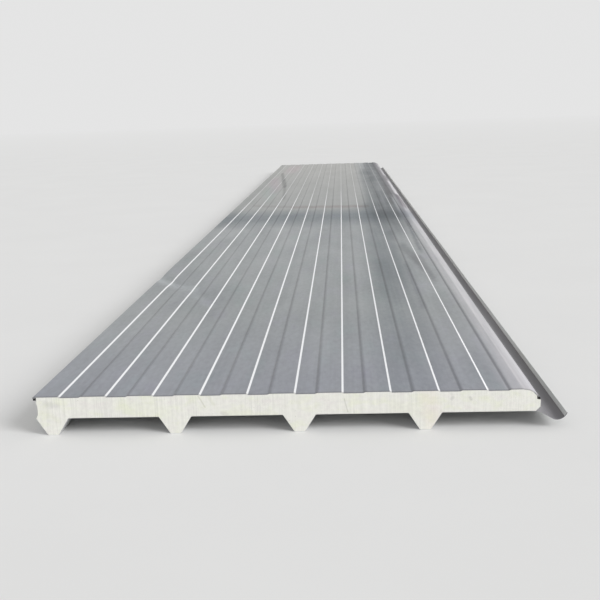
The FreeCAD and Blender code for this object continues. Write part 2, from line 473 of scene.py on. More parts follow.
def round_bends(bm, corners, segments):
    """Rounds the lengthwise edges at section corners, given as (edge, radius)."""
    groups = {}
    for edge, radius in corners:
        if radius > 0.0:
            reach = radius * math.tan(edge.calc_face_angle() / 2)
            groups.setdefault(round(reach, 7), []).append(edge)
    for reach, edges in groups.items():
        bmesh.ops.bevel(
            bm, geom=edges, offset=reach, offset_type="OFFSET", segments=segments,
            profile=0.5, affect="EDGES", material=-1, clamp_overlap=False
        )
    bmesh.ops.remove_doubles(bm, verts=bm.verts, dist=1e-6)


def corner_edges(vertices, radii):
    """Pairs of the lengthwise edge at each section vertex and its radius."""
    pairs = []
    for vertex, radius in zip(vertices, radii):
        found = [edge for edge in vertex.link_edges if lengthwise(edge)]
        pairs.append((found[0], radius))
    return pairs


def cut_at(bm, places, direction):
    """Cuts the mesh by planes square to a direction."""
    direction = Vector(direction)
    for place in places:
        bmesh.ops.bisect_plane(
            bm, geom=bm.verts[:] + bm.edges[:] + bm.faces[:], dist=1e-7,
            plane_co=direction * place, plane_no=direction
        )


def cut_for_wear(bm):
    """Cuts a piece across and along at the places that every piece shares."""
    fine = [CAD_LOW.y + FINE_SPACING * i for i in range(1, FINE_CUTS + 1)]
    last = fine[-1]
    rest = CAD_HIGH.y - last
    coarse = [last + rest * i / COARSE_SPANS for i in range(1, COARSE_SPANS)]
    cut_at(bm, fine + coarse, (0.0, 1.0, 0.0))
    crease = [CREASE_FIRST_CUT + CREASE_SPACING * i for i in range(CREASE_CUTS)]
    cut_at(bm, [rib_one() + x for x in (*crease, *LIP_CUTS)], (1.0, 0.0, 0.0))


def smooth(value):
    """Smooth step from 0 to 1."""
    value = min(max(value, 0.0), 1.0)
    return value * value * (3.0 - 2.0 * value)


def bell(value):
    """Bump of height 1 at 0 that fades out by about 2."""
    return math.exp(-value * value)


def ramp(value, start, width):
    """Smooth rise from 0 at a start to 1 after a width."""
    return smooth((value - start) / width)


def sag(wear, x, y, z):
    """How far the waves and the crease bring a point down."""
    wave = MEAN_WAVE
    for across_cells, along_cells, layer, depth in WAVES:
        wave += depth * noise.noise(Vector((x * across_cells, y * along_cells, layer)))
    inward = x - CAD_LOW.x
    middle = CREASE_ALONG - CREASE_SLANT * inward
    valley = bell((y - CAD_LOW.y - middle) / CREASE_WIDTH)
    down = wear.waviness * wave
    down += wear.crease * valley * (1.0 - smooth(inward / CREASE_REACH))
    return down * ramp(z, *SAG_UP)


def swing(vertex, wear, base, foot):
    """Swings a point of the overlap rib in a little about the rib's foot."""
    x, y, z = vertex.co
    sway = wear.lap_sway * smooth(0.5 + noise.noise(Vector((y * SWAY_CELLS, SWAY_LAYER, 0.0))))
    sway *= smooth((y - CAD_LOW.y) / SWAY_ALONG)
    dx, dz = x - base - foot[0], z - foot[1]
    vertex.co.x = base + foot[0] + dx * math.cos(sway) + dz * math.sin(sway)
    vertex.co.z = foot[1] - dx * math.sin(sway) + dz * math.cos(sway)


def settle(bm):
    """Gives the straight mesh the waves, crease and bruises of a stored panel."""
    wear = settings().wear
    base = rib_one()
    foot = lap_path()[0][0]
    for vertex in bm.verts:
        x, y, z = vertex.co
        across, from_near = x - base, y - CAD_LOW.y
        if across > foot[0] and z < foot[1] + LAP_MARGIN:
            swing(vertex, wear, base, foot)
            continue

        # The lip is bruised round and down at the near end.
        near = bell(from_near / BRUISE_ALONG)
        bruise = near * ramp(z, *BRUISE_UP)
        down = sag(wear, x, y, z)
        down -= wear.lip_swell * bruise * bell((across - SWELL_ACROSS) / SWELL_WIDTH)
        down += wear.lip_down * bruise * ramp(across, *PRESS_ACROSS)
        push = wear.lip_out * (near * ramp(z, *PUSH_UP)) * ramp(across, *PUSH_ACROSS)
        vertex.co = (x + push, y, z - down)


def add_object(name, data):
    """Object of a mesh, light or camera, linked into the scene."""
    added = bpy.data.objects.new(name, data)
    bpy.context.scene.collection.objects.link(added)
    return added


def add_mesh(name, bm, materials):
    """Object of a finished mesh."""
    mesh = bpy.data.meshes.new(name)
    bm.to_mesh(mesh)
    bm.free()
    for material in materials:
        mesh.materials.append(material)
    return add_object(name, mesh)


def make_piece(name, bm, materials, node):
    """Piece of the panel, in place of its CAD node."""
    piece = add_mesh(name, bm, materials)
    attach(piece, "root")
    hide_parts(node)
    return piece


def sheet_mesh(path, radii, segments, metal_up):
    """Bent strip of the drawn face of a sheet, facing away from its metal."""
    base = rib_one()
    bm = bmesh.new()
    chain = [bm.verts.new((base + x, CAD_LOW.y, z)) for x, z in path]
    edges = [bm.edges.new(pair) for pair in zip(chain, chain[1:])]
    run_along(bm, edges, CAD_LOW.y, CAD_HIGH.y)
    round_bends(bm, corner_edges(chain[1:-1], radii[1:-1]), segments)
    cut_for_wear(bm)
    bmesh.ops.recalc_face_normals(bm, faces=bm.faces)
    widest = max(bm.faces, key=lambda face: face.calc_area() * abs(face.normal.z))
    if (widest.normal.z > 0) == metal_up:
        bmesh.ops.reverse_faces(bm, faces=bm.faces)
    settle(bm)
    return bm


def give_thickness(piece, thickness):
    """Steel behind the drawn face, with the back coat and bare cut edges."""
    solid = piece.modifiers.new("Steel", "SOLIDIFY")
    solid.thickness = thickness
    solid.offset = -1.0
    solid.use_even_offset = True
    solid.use_rim = True
    solid.material_offset = 1
    solid.material_offset_rim = 2


# Materials

NOISE_SPAN = (0.3, 0.7)     # most of a noise lies between these
RAGGED_CELLS = 24.0         # of the noise that makes the marks' edges uneven
RAGGED_ALONG = 6.0          # times as uneven along the panel as across it
PAINT_CELLS = (700.0, 700.0, 700.0)
PAINT_RELIEF = 0.00003

# Grains: cells a metre across, along and up, detail, darkest and lightest.
LINER_GRAINS = (
    ((10.0, 3.0, 10.0), 4.0, 0.94, 1.06),
    ((150.0, 2.0, 20.0), 3.0, 0.96, 1.04),
    ((110.0, 40.0, 110.0), 3.0, 0.91, 1.08),
)
COAT_GRAINS = (
    ((60.0, 1.0, 60.0), 4.0, 0.96, 1.03),
    ((6.0, 2.0, 6.0), 4.0, 0.93, 1.04),
)
FOAM_GRAINS = (((120.0, 60.0, 120.0), 4.0, 0.95, 1.03),)

# Patches: tint, the noise where it sets in and where it is whole, and strength.
LINER_PATCHES = (
    ((0.92, 1.02, 0.98), 0.55, 0.75, 0.7),
    ((1.0, 0.95, 1.05), 0.45, 0.25, 0.7),
)
FOAM_PATCHES = (
    ((0.98, 0.995, 0.925), 0.50, 0.64, 1.0),
    ((0.97, 0.95, 0.97), 0.46, 0.30, 1.0),
)

# Where the liner's looks set in and are whole, in metres: along from the near end or across
# from rib 1.
NEAR_COAT_ALONG = (0.75, 0.10)
# Painted reflection over the far part of the liner; its mask also makes it rougher.
FAR_REFLECTION_AND_MATT_ALONG = (3.22, 3.50)
FAR_REFLECTION_AND_MATT_ACROSS = (0.80, 0.70)
FAR_REFLECTION_ALONG = (3.5, 7.5)
FAR_REFLECTION_STRENGTH = (0.40, 0.75)
# Painted highlight on the edge strip by the lip; its mask also makes it rougher.
CHALK_AND_HIGHLIGHT_ACROSS = (0.900, 0.945)
BAND_ALONG = 3.08           # middle of a darker band across the liner, a painted reflection
BAND_FADE = (0.08, 0.46)
# Painted shade along the liner by the near end.
NEAR_EDGE_SHADE = (0.009, 0.004)
RAGGED_LINER = 0.012
BEVEL_HIGHLIGHT_COLOUR = (0.66, 0.64, 0.66)
BEVEL_HIGHLIGHT_STRENGTH = 0.70
BAND_TINT = (0.76, 0.79, 0.82)
NEAR_EDGE_SHADE_TINT = (0.60, 0.59, 0.57)

# Roughness that the far part, the edge strip by the lip and the darker streaks and band get.
DUST_MATT, CHALK_MATT, GRIME_MATT = 0.15, 0.35, 0.20

# Steps of the liner: a painted highlight line on each step down and a painted shade line on each
# step up, which fade along the panel, and painted shade from each step to the next.
STEP_LEAD = 0.003           # a strip's own shading starts this far before its step down
STEPS_LEFT = (-0.030, -0.025)
STEPS_RIGHT = (0.925, 0.920)
STEPS_ALONG = (3.1, 4.8)
STEPS_FAR = 0.25
DOWN_LINE = (0.7, 1.1)      # full width and faded edge, in half widths of a step
UP_LINE = (0.8, 2.6)
UP_SHIFT = 0.0015           # painted shade lies past the middle of the step up
UP_SHADE_TINT = (0.72, 0.72, 0.73)
# Painted shade across each strip, with a painted highlight just after each step up.
HOLLOW_END = 0.025
LIFTED_WIDTH = 0.004
SHADED, LIFTED_HIGHLIGHT = 0.93, 1.04
# Painted highlight on the steps down, weaker towards the lip.
GLINT_ACROSS = (0.3, 0.9)
GLINT_RIGHT = 0.85


def new_material(name):
    """Material with an empty node tree."""
    material = bpy.data.materials.new(name)
    material.use_nodes = True
    tree = material.node_tree
    tree.nodes.clear()
    return material, tree


def put(socket, value):
    """Links a socket into an input, or sets the input to a number or colour."""
    if isinstance(value, bpy.types.NodeSocket):
        socket.id_data.links.new(value, socket)
    else:
        socket.default_value = value


def add_node(tree, kind, *values, **named):
    """Node with inputs given in their order, or by name with underscores for spaces."""
    node = tree.nodes.new(kind)
    for socket, value in zip(node.inputs, values):
        put(socket, value)
    for name, value in named.items():
        put(node.inputs[name.replace("_", " ")], value)
    return node


def math_node(tree, operation, *values, clamp=False):
    """Result of a sum on sockets and numbers."""
    node = add_node(tree, "ShaderNodeMath", *values)
    node.operation = operation
    node.use_clamp = clamp
    return node.outputs[0]


def vector_node(tree, operation, *values, scale=None):
    """Node of a sum on vectors."""
    node = add_node(tree, "ShaderNodeVectorMath", *values)
    node.operation = operation
    if scale is not None:
        put(node.inputs["Scale"], scale)
    return node


def times(tree, value, *others):
    """Product of sockets and numbers."""
    for other in others:
        value = math_node(tree, "MULTIPLY", value, other)
    return value


def distance(tree, value, place):
    """How far a value is from a place, either way."""
    return math_node(tree, "ABSOLUTE", math_node(tree, "SUBTRACT", value, place))


def split(tree, vector):
    """X, Y and Z of a vector."""
    return add_node(tree, "ShaderNodeSeparateXYZ", vector).outputs[:]


def remap(tree, value, low, high, start=0.0, end=1.0):
    """Value moved from one range to another and held inside it."""
    return add_node(tree, "ShaderNodeMapRange", value, low, high, start, end).outputs[0]


def object_place(tree):
    """The object's own coordinates."""
    return tree.nodes.new("ShaderNodeTexCoord").outputs["Object"]


def section_place(tree, ragged=0.0):
    """Place from rib 1's centre line and the near end, made uneven by a little noise."""
    origin = (rib_one(), CAD_LOW.y, 0.0)
    place = vector_node(tree, "SUBTRACT", object_place(tree), origin).outputs[0]
    if ragged > 0.0:
        texture = add_node(tree, "ShaderNodeTexNoise", Vector=place, Scale=RAGGED_CELLS,
                           Detail=4.0)
        centred = vector_node(tree, "SUBTRACT", texture.outputs["Color"], (0.5, 0.5, 0.5))
        reach = (ragged, RAGGED_ALONG * ragged, ragged)
        uneven = vector_node(tree, "MULTIPLY", centred.outputs[0], reach)
        place = vector_node(tree, "ADD", place, uneven.outputs[0]).outputs[0]
    return place


def grain(tree, cells, detail=3.0, roughness=0.55):
    """Noise with its own number of cells a metre across, along and up."""
    mapping = add_node(tree, "ShaderNodeMapping", Vector=object_place(tree), Scale=cells)
    texture = add_node(tree, "ShaderNodeTexNoise", Vector=mapping.outputs["Vector"], Scale=1.0,
                       Detail=detail, Roughness=roughness)
    return texture.outputs["Fac"]


def mixed(tree, colour, other, share, blend="MIX"):
    """Colour mixed with another by a share."""
    node = tree.nodes.new("ShaderNodeMix")
    node.data_type = "RGBA"
    node.blend_type = blend
    node.clamp_result = True
    put(node.inputs[0], share)
    for index, given in ((6, colour), (7, other)):
        if not isinstance(given, bpy.types.NodeSocket):
            given = (*given, 1.0)
        put(node.inputs[index], given)
    return node.outputs[2]


def tinted(tree, colour, tint, share):
    """Colour multiplied by a tint, by a share."""
    return mixed(tree, colour, tint, share, "MULTIPLY")


def scaled(tree, colour, scale):
    """Colour made darker or lighter by a factor."""
    return vector_node(tree, "SCALE", colour, scale=scale).outputs[0]


def varied(tree, colour, noise_socket, low, high):
    """Colour scaled between two shades by a noise."""
    return scaled(tree, colour, remap(tree, noise_socket, *NOISE_SPAN, low, high))


def grained(tree, colour, grains):
    """Colour varied by several grains."""
    for cells, detail, low, high in grains:
        colour = varied(tree, colour, grain(tree, cells, detail), low, high)
    return colour


def patched(tree, colour, texture, patches):
    """Colour tinted where a noise is high or low."""
    for tint, start, whole, strength in patches:
        colour = tinted(tree, colour, tint, remap(tree, texture, start, whole, 0.0, strength))
    return colour


def uneven_gloss(tree, cells, roughness, less, more):
    """Roughness that drifts over the surface in soft clouds."""
    clouds = grain(tree, cells, 3.0)
    return remap(tree, clouds, *NOISE_SPAN, roughness - less, roughness + more)


def plain_colour(tree, colour):
    """Colour socket of a fixed colour."""
    node = tree.nodes.new("ShaderNodeRGB")
    node.outputs[0].default_value = (*colour, 1.0)
    return node.outputs[0]


def stroke(tree, place, start, end, half, edge, stretch):
    """Mask of a straight smear, with lengths along the panel shrunk by stretch."""
    shrunk = vector_node(tree, "MULTIPLY", place, (1.0, 1.0 / stretch, 0.0)).outputs[0]
    first = Vector((start[0], start[1] / stretch, 0.0))
    run = Vector((end[0], end[1] / stretch, 0.0)) - first
    offset = vector_node(tree, "SUBTRACT", shrunk, tuple(first)).outputs[0]
    reach = vector_node(tree, "DOT_PRODUCT", offset, tuple(run / run.length_squared))
    held = math_node(tree, "MULTIPLY", reach.outputs["Value"], 1.0, clamp=True)
    nearest = vector_node(tree, "SCALE", tuple(run), scale=held).outputs[0]
    away = vector_node(tree, "DISTANCE", offset, nearest).outputs["Value"]
    return remap(tree, away, half, half + edge, 1.0, 0.0)


def surface(tree, colour, roughness, relief, depth, **constants):
    """Principled surface, with a relief of a given depth in metres."""
    bump = add_node(tree, "ShaderNodeBump", Height=relief, Distance=depth)
    shader = add_node(tree, "ShaderNodeBsdfPrincipled", Base_Color=colour, Roughness=roughness,
                      Normal=bump.outputs["Normal"], **constants)
    add_node(tree, "ShaderNodeOutputMaterial", Surface=shader.outputs["BSDF"])


# Darker streaks that run along the liner: from and to (across from rib 1, along from the near
# end), half width, soft edge, stretch and tint.
LINER_DARK_STREAKS = (
    ((0.730, 0.45), (0.745, 3.40), 0.015, 0.075, 8.0, (0.72, 0.75, 0.77)),
    ((0.778, 1.50), (0.795, 3.40), 0.015, 0.080, 8.0, (0.68, 0.71, 0.73)),
    ((0.780, 3.30), (0.800, 6.40), 0.022, 0.045, 12.0, (0.64, 0.66, 0.67)),
    ((0.852, 3.10), (0.878, 8.00), 0.032, 0.045, 12.0, (0.48, 0.50, 0.52)),
    ((0.897, 1.90), (0.912, 2.75), 0.003, 0.010, 12.0, (0.60, 0.61, 0.63)),
    ((0.912, 2.75), (0.943, 4.20), 0.006, 0.012, 12.0, (0.66, 0.65, 0.68)),
    ((0.918, 4.50), (0.935, 8.00), 0.018, 0.028, 12.0, (0.58, 0.57, 0.58)),
    ((0.950, 3.60), (0.950, 4.10), 0.008, 0.012, 12.0, (0.55, 0.53, 0.55)),
    ((-0.016, 1.90), (-0.014, 8.00), 0.012, 0.020, 12.0, (0.88, 0.89, 0.89)),
)

# Marks on the liner: from and to (across from rib 1, along from the near end), half width,
# soft edge, stretch, tint and strength.
LINER_MARKS = (
    # The first five marks are a painted highlight and a painted shade along the crease by the tongue.
    ((-0.040, 1.31), (0.020, 1.24), 0.004, 0.012, 4.0, (1.50, 1.50, 1.50), 0.7),
    ((0.020, 1.22), (0.120, 1.12), 0.003, 0.010, 4.0, (1.45, 1.45, 1.45), 0.6),
    ((0.115, 1.08), (0.200, 0.86), 0.003, 0.012, 4.0, (1.35, 1.35, 1.35), 0.5),
    ((-0.030, 1.38), (0.230, 1.02), 0.020, 0.040, 4.0, (0.80, 0.82, 0.84), 0.5),
    ((0.190, 0.98), (0.240, 0.80), 0.015, 0.030, 4.0, (0.82, 0.82, 0.84), 0.4),
    ((0.838, 1.90), (0.860, 1.64), 0.009, 0.014, 8.0, (0.56, 0.57, 0.58), 0.9),
    ((0.862, 1.64), (0.868, 1.46), 0.006, 0.012, 8.0, (0.56, 0.57, 0.58), 0.9),
    ((0.884, 1.66), (0.887, 1.25), 0.004, 0.008, 8.0, (0.60, 0.60, 0.62), 0.9),
    ((0.817, 1.50), (0.815, 0.80), 0.003, 0.008, 8.0, (0.74, 0.75, 0.77), 0.9),
    ((0.850, 1.36), (0.850, 1.06), 0.006, 0.012, 8.0, (1.14, 1.14, 1.14), 0.8),
    ((0.800, 0.75), (0.795, 0.20), 0.010, 0.020, 6.0, (0.80, 0.81, 0.83), 0.6),
    ((0.810, 2.40), (0.815, 2.15), 0.006, 0.010, 6.0, (0.65, 0.65, 0.68), 0.6),
    ((0.888, 3.10), (0.893, 4.00), 0.005, 0.010, 12.0, (0.62, 0.62, 0.64), 0.8),
    ((0.903, 3.30), (0.910, 4.00), 0.003, 0.008, 12.0, (1.28, 1.26, 1.28), 0.8),
    ((0.055, 6.60), (0.115, 5.80), 0.004, 0.010, 14.0, (0.55, 0.55, 0.55), 0.8),
    ((0.115, 5.80), (0.165, 5.15), 0.006, 0.010, 14.0, (0.50, 0.50, 0.50), 0.8),
    ((0.165, 5.15), (0.215, 4.20), 0.003, 0.010, 14.0, (0.62, 0.62, 0.62), 0.7),
    ((0.040, 5.80), (0.110, 4.90), 0.012, 0.030, 14.0, (1.10, 0.92, 1.04), 0.5),
    ((0.060, 4.90), (0.120, 4.40), 0.010, 0.030, 14.0, (0.92, 1.06, 1.02), 0.5),
    ((0.100, 7.20), (0.150, 7.25), 0.020, 0.040, 14.0, (1.12, 0.94, 1.02), 0.5),
    # This mark and the third from here are painted highlights on the bevel by the lip.
    ((0.950, 4.40), (0.957, 5.40), 0.005, 0.009, 14.0, (1.50, 1.50, 1.50), 0.8),
    ((0.952, 5.60), (0.958, 5.90), 0.006, 0.010, 14.0, (0.55, 0.53, 0.54), 0.7),
    ((0.955, 6.20), (0.962, 7.60), 0.002, 0.008, 14.0, (1.35, 1.35, 1.35), 0.7),
    ((0.890, 3.80), (0.905, 5.00), 0.004, 0.012, 14.0, (0.70, 0.62, 0.64), 0.6),
    ((0.300, 3.62), (0.740, 3.56), 0.004, 0.008, 8.0, (0.74, 0.64, 0.64), 0.7),
    ((0.060, 3.74), (0.300, 3.62), 0.003, 0.008, 8.0, (0.78, 0.74, 0.74), 0.6),
)


def liner_coat(tree, finish, along):
    """Coat, bluer by the near end, in long soft patches and fine lengthwise streaks."""
    colour = mixed(tree, plain_colour(tree, finish.liner), finish.liner_near,
                   remap(tree, along, *NEAR_COAT_ALONG))
    colour = patched(tree, colour, grain(tree, (16.0, 5.0, 16.0), 3.0), LINER_PATCHES)
    return grained(tree, colour, LINER_GRAINS)


def liner_streaks_and_marks(tree, colour, place, painted_dark_band):
    """Darker streaks and marks laid on a colour, and how matt the streaks and the band make it."""
    streaks = remap(tree, grain(tree, (45.0, 0.6, 20.0), 4.0), 0.30, 0.55, 0.70, 1.0)
    matt = painted_dark_band
    for start, end, half, edge, stretch, tint in LINER_DARK_STREAKS:
        share = times(tree, stroke(tree, place, start, end, half, edge, stretch), streaks)
        colour = tinted(tree, colour, tint, share)
        matt = math_node(tree, "MAXIMUM", matt, times(tree, share, 1.0 - tint[0]))
    for start, end, half, edge, stretch, tint, strength in LINER_MARKS:
        mask = stroke(tree, place, start, end, half, edge, stretch)
        colour = tinted(tree, colour, tint, times(tree, mask, strength))
    return colour, matt


def liner_steps(tree, colour, finish, across, along):
    """Painted highlight on each step down to the right, painted shade on each step up and across each
    strip.
    """
    liner = settings().liner
    pitch = settings().core.cover / (liner.micro_ribs + 0.5)
    half = liner.step / 2
    shifted = math_node(tree, "SUBTRACT", across, liner.start - STEP_LEAD)
    turns = math_node(tree, "FLOORED_MODULO", shifted, pitch)
    phase = math_node(tree, "SUBTRACT", turns, STEP_LEAD)
    down = remap(tree, math_node(tree, "ABSOLUTE", phase),
                 half * DOWN_LINE[0], half * DOWN_LINE[1], 1.0, 0.0)
    # Painted shade line on each step up.
    rise = distance(tree, phase, liner.recess + UP_SHIFT)
    up = remap(tree, rise, half * UP_LINE[0], half * UP_LINE[1], 1.0, 0.0)
    on_top = times(tree, remap(tree, across, *STEPS_LEFT), remap(tree, across, *STEPS_RIGHT))
    line_fade = remap(tree, along, *STEPS_ALONG, 1.0, STEPS_FAR)
    down = times(tree, down, on_top, line_fade)
    up = times(tree, up, on_top, line_fade)

    # Painted shade across each strip, with a painted highlight just after each step up.
    lifted_end = liner.recess + LIFTED_WIDTH
    hollow_shade = remap(tree, phase, STEP_LEAD, HOLLOW_END, SHADED, 1.0)
    lifted_highlight = remap(tree, phase, liner.recess, lifted_end, 1.0, LIFTED_HIGHLIGHT)
    falling_shade = remap(tree, phase, lifted_end, pitch - STEP_LEAD, 1.0, SHADED)
    colour = scaled(tree, colour, times(tree, hollow_shade, lifted_highlight, falling_shade))
    # Painted highlight on each step down.
    step_glint = times(tree, down, remap(tree, across, *GLINT_ACROSS, 1.0, GLINT_RIGHT))
    colour = mixed(tree, colour, finish.step, step_glint)
    return tinted(tree, colour, UP_SHADE_TINT, up)


def liner_material(finish):
    """Grey coat of the liner: painted light and shade on the steps, streaks, painted reflections and
    marks.
    """
    material, tree = new_material("liner_coat")
    across, along, _ = split(tree, section_place(tree))
    uneven = section_place(tree, RAGGED_LINER)
    rough_across, rough_along, _ = split(tree, uneven)
    colour = liner_coat(tree, finish, rough_along)

    # Painted reflection over the far part, painted highlight on the edge strip by the lip, both also
    # made rougher, and a darker band across that is a painted reflection.
    far_reflection_and_matt = times(tree, remap(tree, rough_along, *FAR_REFLECTION_AND_MATT_ALONG),
                  remap(tree, rough_across, *FAR_REFLECTION_AND_MATT_ACROSS))
    far_reflection_growth = remap(tree, rough_along, *FAR_REFLECTION_ALONG, *FAR_REFLECTION_STRENGTH)
    colour = mixed(tree, colour, finish.far_reflection, times(tree, far_reflection_and_matt, far_reflection_growth))
    chalk_and_highlight = times(tree, remap(tree, across, *CHALK_AND_HIGHLIGHT_ACROSS),
                  remap(tree, grain(tree, (60.0, 3.0, 60.0), 4.0), 0.3, 0.6, 0.6, 1.0))
    colour = mixed(tree, colour, BEVEL_HIGHLIGHT_COLOUR, times(tree, chalk_and_highlight, BEVEL_HIGHLIGHT_STRENGTH))
    painted_dark_band = remap(tree, distance(tree, rough_along, BAND_ALONG), *BAND_FADE, 1.0, 0.0)
    colour = tinted(tree, colour, BAND_TINT, painted_dark_band)

    colour, matt = liner_streaks_and_marks(tree, colour, uneven, painted_dark_band)
    colour = liner_steps(tree, colour, finish, across, along)
    # Painted shade along the liner by the near end.
    colour = tinted(tree, colour, NEAR_EDGE_SHADE_TINT, remap(tree, along, *NEAR_EDGE_SHADE))

    gloss = uneven_gloss(tree, (8.0, 2.0, 8.0), finish.liner_roughness, 0.05, 0.07)
    gloss = math_node(tree, "ADD", gloss, times(tree, far_reflection_and_matt, DUST_MATT))
    gloss = math_node(tree, "ADD", gloss, times(tree, chalk_and_highlight, CHALK_MATT))
    gloss = math_node(tree, "ADD", gloss, times(tree, matt, GRIME_MATT), clamp=True)
    surface(tree, colour, gloss, grain(tree, PAINT_CELLS, 2.0), PAINT_RELIEF,
            Specular_IOR_Level=0.3)
    return material


def coat_material(name, colour, roughness):
    """Coil-coated steel with lengthwise streaks, soft dirt and a fine grain."""
    material, tree = new_material(name)
    shade = grained(tree, plain_colour(tree, colour), COAT_GRAINS)
    dirt = remap(tree, grain(tree, (30.0, 6.0, 30.0), 5.0), 0.58, 0.75)
    shade = tinted(tree, shade, (0.80, 0.78, 0.74), dirt)
    gloss = uneven_gloss(tree, (5.0, 1.5, 5.0), roughness, 0.05, 0.08)
    surface(tree, shade, gloss, grain(tree, PAINT_CELLS, 2.0), PAINT_RELIEF,
            Specular_IOR_Level=0.4)
    return material


def steel_material(name, colour):
    """Bare cut edge of galvanised steel."""
    material, tree = new_material(name)
    scratches = grain(tree, (900.0, 900.0, 300.0), 3.0)
    shade = varied(tree, plain_colour(tree, colour), scratches, 0.75, 1.1)
    surface(tree, shade, 0.4, scratches, depth=0.00003, Metallic=0.7)
    return material


RAGGED_FOAM = 0.004
FOAM_MARKS_ALONG = (0.06, 0.03)  # the marks are whole this near the cut end

# Marks on the cut end of the foam: from and to (across, height), half width, soft edge,
# tint and strength.
FOAM_MARKS = (
    ((-0.012, 0.066), (0.010, 0.062), 0.003, 0.007, (0.84, 0.84, 0.85), 0.7),
    ((-0.016, 0.050), (0.012, 0.030), 0.001, 0.008, (0.95, 0.96, 0.90), 0.7),
    ((0.299, 0.077), (0.311, 0.054), 0.0006, 0.0015, (0.82, 0.82, 0.78), 0.8),
    ((0.297, 0.077), (0.309, 0.054), 0.0008, 0.0012, (1.05, 1.05, 1.05), 0.6),
    ((0.318, 0.078), (0.330, 0.058), 0.001, 0.004, (0.90, 0.91, 0.86), 0.7),
    ((0.590, 0.066), (0.596, 0.040), 0.0004, 0.0014, (0.78, 0.78, 0.76), 0.8),
    ((0.755, 0.075), (0.770, 0.010), 0.010, 0.015, (1.02, 0.97, 0.95), 0.6),
    ((0.801, 0.063), (0.804, 0.066), 0.0015, 0.003, (0.84, 0.84, 0.84), 0.8),
    ((0.838, 0.065), (0.840, 0.061), 0.0012, 0.003, (0.80, 0.80, 0.80), 0.8),
    ((0.345, 0.041), (0.355, 0.038), 0.002, 0.003, (0.88, 0.87, 0.85), 0.7),
    ((0.690, 0.050), (0.760, 0.030), 0.006, 0.012, (0.97, 0.98, 0.92), 0.6),
    ((0.140, 0.060), (0.230, 0.045), 0.006, 0.014, (0.98, 1.00, 0.93), 0.6),
)


def foam_material(finish):
    """Sawn polyurethane foam: fine cells, saw marks, flow lines and soft blotches."""
    material, tree = new_material("foam")
    colour = plain_colour(tree, finish.foam)
    colour = patched(tree, colour, grain(tree, (22.0, 10.0, 40.0), 4.0), FOAM_PATCHES)
    saw = grain(tree, (330.0, 20.0, 9.0), 3.0)
    saw_share = remap(tree, grain(tree, (7.0, 7.0, 7.0), 2.0), 0.40, 0.60, 0.35, 1.0)
    sawn = remap(tree, saw, 0.35, 0.65, -0.07, 0.05)
    colour = scaled(tree, colour, math_node(tree, "ADD", 1.0, times(tree, sawn, saw_share)))
    cells = grain(tree, (1300.0, 1300.0, 1300.0), 2.0)
    colour = varied(tree, colour, cells, 0.96, 1.02)
    colour = grained(tree, colour, FOAM_GRAINS)
    flecks = remap(tree, grain(tree, (240.0, 240.0, 240.0), 2.0, 0.4), 0.70, 0.76)
    colour = tinted(tree, colour, (0.80, 0.80, 0.76), flecks)

    # The cut end's own marks, drawn on a plane turned to face along the panel.
    across, along, up = split(tree, section_place(tree, RAGGED_FOAM))
    flat = add_node(tree, "ShaderNodeCombineXYZ", across, up)
    at_end = remap(tree, along, *FOAM_MARKS_ALONG)
    for start, end, half, edge, tint, strength in FOAM_MARKS:
        mask = stroke(tree, flat.outputs[0], start, end, half, edge, 1.0)
        colour = tinted(tree, colour, tint, times(tree, mask, strength, at_end))
    relief = math_node(tree, "ADD", times(tree, saw, 0.6), cells)
    surface(tree, colour, 0.95, relief, depth=0.0004, Specular_IOR_Level=0.2)
    return material


def seal_material(colour):
    """Black closed-cell strip."""
    material, tree = new_material("seal")
    cells = grain(tree, (1500.0, 1500.0, 1500.0), 2.0)
    shade = varied(tree, plain_colour(tree, colour), cells, 0.6, 1.5)
    surface(tree, shade, 0.85, cells, depth=0.0002)
    return material


# Operators


def make_sheet(name, coat, slot, node, path, bends, thickness, segments):
    """Bent sheet, with its metal above the drawn face where the thickness is positive."""
    finish = settings().finish
    stem = slot.removesuffix("_coat")
    coats = [
        coat,
        coat_material(stem + "_back_coat", finish.back, 0.5),
        steel_material(stem + "_cut_edge", finish.steel),
    ]
    bm = sheet_mesh(path, face_radii(path, bends, thickness), segments, thickness > 0)
    give_thickness(make_piece(name, bm, coats, node), abs(thickness))


class PANEL_OT_outer_sheet(bpy.types.Operator):
    """Build the ribbed outer sheet with its overlap rib"""

    bl_idname = "panel.outer_sheet"
    bl_label = "Outer sheet"

    def execute(self, context):
        """Bend the strip over the filled ribs and on to the overlap rib."""
        ribs, bends = rib_path()
        lap, lap_bends = lap_path()
        coat = coat_material("outer_coat", settings().finish.outer, 0.4)
        make_sheet("ribbed_outer_sheet", coat, "outer_coat", "outer_sheet", ribs + lap,
                   bends + lap_bends, settings().outer.thickness, segments=6)
        return {"FINISHED"}


class PANEL_OT_liner_sheet(bpy.types.Operator):
    """Build the micro-ribbed liner sheet with its folded edges"""

    bl_idname = "panel.liner_sheet"
    bl_label = "Liner sheet"

    def execute(self, context):
        """Bend the strip from the tongue's leg to the lip's folded layer."""
        path, bends = liner_path()
        coat = liner_material(settings().finish)
        make_sheet("micro_ribbed_liner", coat, "liner_coat", "liner_sheet", path,
                   bends, -settings().liner.thickness, segments=3)
        return {"FINISHED"}


class PANEL_OT_foam_core(bpy.types.Operator):
    """Build the foam core between the sheets"""

    bl_idname = "panel.foam_core"
    bl_label = "Foam core"

    def execute(self, context):
        """Run the outline along the panel and round its corners."""
        points, radii = core_outline()
        base = rib_one()
        bm = bmesh.new()
        ring = [bm.verts.new((base + x, CAD_LOW.y, z)) for x, z in points]
        run_along(bm, [bm.faces.new(ring)], CAD_LOW.y, CAD_HIGH.y)
        round_bends(bm, corner_edges(ring, radii), segments=3)
        cut_for_wear(bm)
        bmesh.ops.recalc_face_normals(bm, faces=bm.faces)
        settle(bm)
        material = foam_material(settings().finish)
        make_piece("foam_block", bm, [material], "foam_core")
        return {"FINISHED"}


